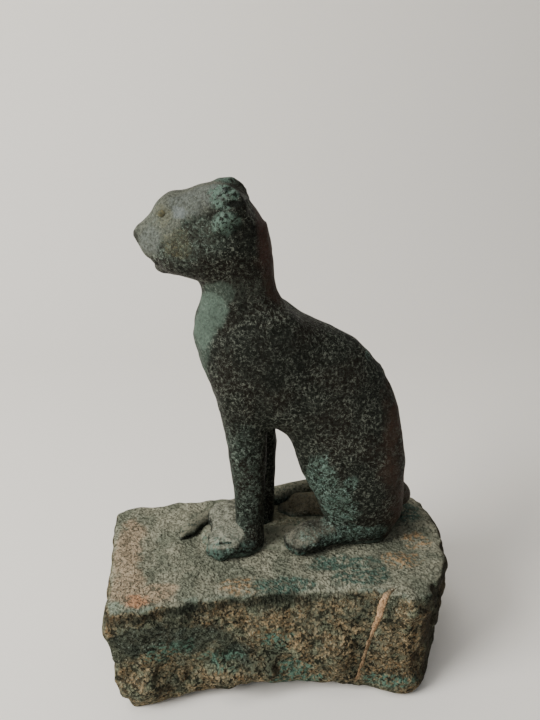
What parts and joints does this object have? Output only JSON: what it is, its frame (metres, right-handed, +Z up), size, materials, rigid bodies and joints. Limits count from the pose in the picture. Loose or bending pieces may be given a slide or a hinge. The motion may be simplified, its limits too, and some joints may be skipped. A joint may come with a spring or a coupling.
{
  "type": "seated cat figure on plinth",
  "caption": "Seated bronze cat figure, hollow cast, with a tail curled round its right side, on a rough stone plinth with a mended corner.",
  "frame": {"origin": "middle of the underside of the plinth, at the height of what it stands on", "axes": "+Z up, -X the way the cat faces, -Y towards the cat's left side"},
  "size_m": [0.145, 0.078, 0.2],
  "materials": {
    "patinated_bronze": "dark green-black patina with pale green speckle",
    "tail_bronze": "dusty green-brown patina",
    "eye_inlay": "dull yellow-brown, worn",
    "clay_core": "fired clay and sand",
    "rusty_iron": "rusted",
    "tenon_metal": "bare cast bronze",
    "grout": "lime grout",
    "bedding": "gritty dusty mortar",
    "plinth_stone": "rough granular stone with green and ochre crust",
    "corner_stone": "rough granular stone with green and ochre crust",
    "joint_filler": "sandy orange filler"
  },
  "bodies": {
    "root": {"cat_casting": "patinated_bronze", "tail": "tail_bronze", "left_eye_inlay": "eye_inlay", "right_eye_inlay": "eye_inlay", "casting_core": "clay_core", "core_pins": "rusty_iron", "left_fore_tenon": "tenon_metal", "right_fore_tenon": "tenon_metal", "rear_tenon": "tenon_metal", "tenon_grout": "grout", "bedding_mortar": "bedding", "plinth": "plinth_stone", "plinth_corner": "corner_stone", "corner_joint_fill": "joint_filler"}
  },
  "joints": []
}
